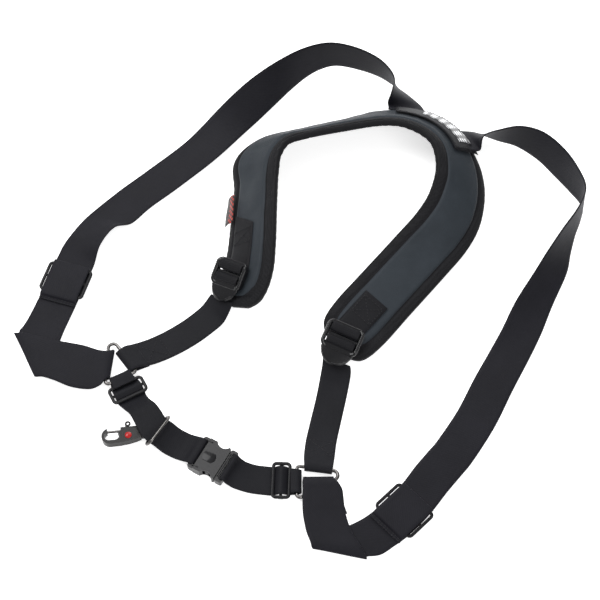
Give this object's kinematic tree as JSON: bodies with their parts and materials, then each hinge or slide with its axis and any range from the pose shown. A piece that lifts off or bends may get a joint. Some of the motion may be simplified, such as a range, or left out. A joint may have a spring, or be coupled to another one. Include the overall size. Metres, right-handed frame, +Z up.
{
  "type": "padded instrument harness",
  "caption": "Padded yoke harness that carries a wind instrument: side straps, front straps with ladder locks, and a chest strap with a release buckle and a snap hook.",
  "frame": {"origin": "middle of the footprint, on the surface the harness lies on", "axes": "+Z up off the surface, +Y from the chest strap to the back of the yoke, +X to the right of that"},
  "size_m": [0.5891, 0.5854, 0.0593],
  "materials": {
    "foam": "matte foam core",
    "yoke_face": "smooth woven face with a soft sheen",
    "lining": "matte knitted lining",
    "binding": "ribbed binding tape",
    "webbing_black": "dark woven webbing",
    "webbing_wide": "dark grey woven webbing with a sheen",
    "webbing_narrow": "dark grey woven webbing",
    "label": "reflective label",
    "tag": "woven tag",
    "lock_plastic": "glossy black",
    "slider_plastic": "satin black",
    "buckle_plastic": "satin black",
    "ring_metal": "polished wire",
    "hook_coat": "satin black coating",
    "spring_steel": "spring wire",
    "badge": "domed"
  },
  "bodies": {
    "harness": {"pad_foam": "foam", "pad_face": "yoke_face", "pad_lining": "lining", "pad_binding": "binding", "back_patch": "webbing_black", "back_label": "label", "side_tag": "tag", "tab_left": "webbing_black", "tab_right": "webbing_black", "side_strap_left": "webbing_wide", "side_strap_right": "webbing_wide", "front_strap_left": "webbing_narrow", "front_strap_right": "webbing_narrow", "chest_strap_left": "webbing_narrow", "chest_strap_right": "webbing_narrow", "side_slider_left": "slider_plastic", "side_slider_right": "slider_plastic", "chest_slider_left": "slider_plastic", "chest_slider_right": "slider_plastic", "ring_left": "ring_metal", "ring_right": "ring_metal", "buckle_socket": "buckle_plastic"},
    "ladder_lock_left": {"lock_left": "lock_plastic", "lock_web_left": "webbing_black"},
    "ladder_lock_right": {"lock_right": "lock_plastic", "lock_web_right": "webbing_black"},
    "plug": {"buckle_plug": "buckle_plastic"},
    "plug_prong_left": {"prong_left": "buckle_plastic"},
    "plug_prong_right": {"prong_right": "buckle_plastic"},
    "loop": {"hook_loop": "ring_metal"},
    "swivel_eye": {"hook_eye": "ring_metal"},
    "snap_hook": {"hook_body": "hook_coat", "gate_spring": "spring_steel", "hook_badge": "badge"},
    "gate": {"hook_gate": "ring_metal", "gate_lever": "hook_coat"}
  },
  "joints": [
    {"name": "lock_left_tilt", "type": "hinge", "parent": "harness", "child": "ladder_lock_left", "pos_m": [-0.0726, 0.014, 0.0328], "axis": [-0.7688, 0.5269, -0.3624], "range_deg": [0, 35], "deforming": ["front_strap_left"]},
    {"name": "lock_right_tilt", "type": "hinge", "parent": "harness", "child": "ladder_lock_right", "pos_m": [0.0419, -0.0565, 0.0253], "axis": [-0.9157, 0.3795, 0.1324], "range_deg": [0, 35], "deforming": ["front_strap_right"]},
    {"name": "buckle_pull", "type": "slide", "parent": "harness", "child": "plug", "axis": [0.8746, -0.4848, 0], "range_m": [0, 0.016], "deforming": ["chest_strap_right"]},
    {"name": "prong_left_squeeze", "type": "hinge", "parent": "plug", "child": "plug_prong_left", "pos_m": [-0.07586, -0.19037, 0.005], "axis": [0, 0, 1], "range_deg": [0, 8], "stiffness_Nm_per_rad": 0.05},
    {"name": "prong_right_squeeze", "type": "hinge", "parent": "plug", "child": "plug_prong_right", "pos_m": [-0.08497, -0.20681, 0.005], "axis": [0, 0, 1], "range_deg": [-8, 0], "stiffness_Nm_per_rad": 0.05},
    {"name": "loop_slide", "type": "slide", "parent": "harness", "child": "loop", "axis": [0.809, -0.5878, 0], "range_m": [-0.0015, 0.0015]},
    {"name": "eye_swing", "type": "hinge", "parent": "loop", "child": "swivel_eye", "pos_m": [-0.1482, -0.165, 0.0061], "axis": [0, 0, 1], "range_deg": [-12, 3]},
    {"name": "hook_swivel", "type": "hinge", "parent": "swivel_eye", "child": "snap_hook", "pos_m": [-0.15815, -0.16604, 0.0061], "axis": [-0.9945, -0.1045, 0], "range_deg": [-3, 90]},
    {"name": "gate_pull", "type": "slide", "parent": "snap_hook", "child": "gate", "axis": [0.9945, 0.1045, 0], "range_m": [0, 0.006], "stiffness_N_per_m": 200, "springref_m": -0.002, "deforming": ["gate_spring"]}
  ],
  "couplings": [
    {"joint": "prong_right_squeeze", "follows": "prong_left_squeeze", "ratio": -1}
  ]
}
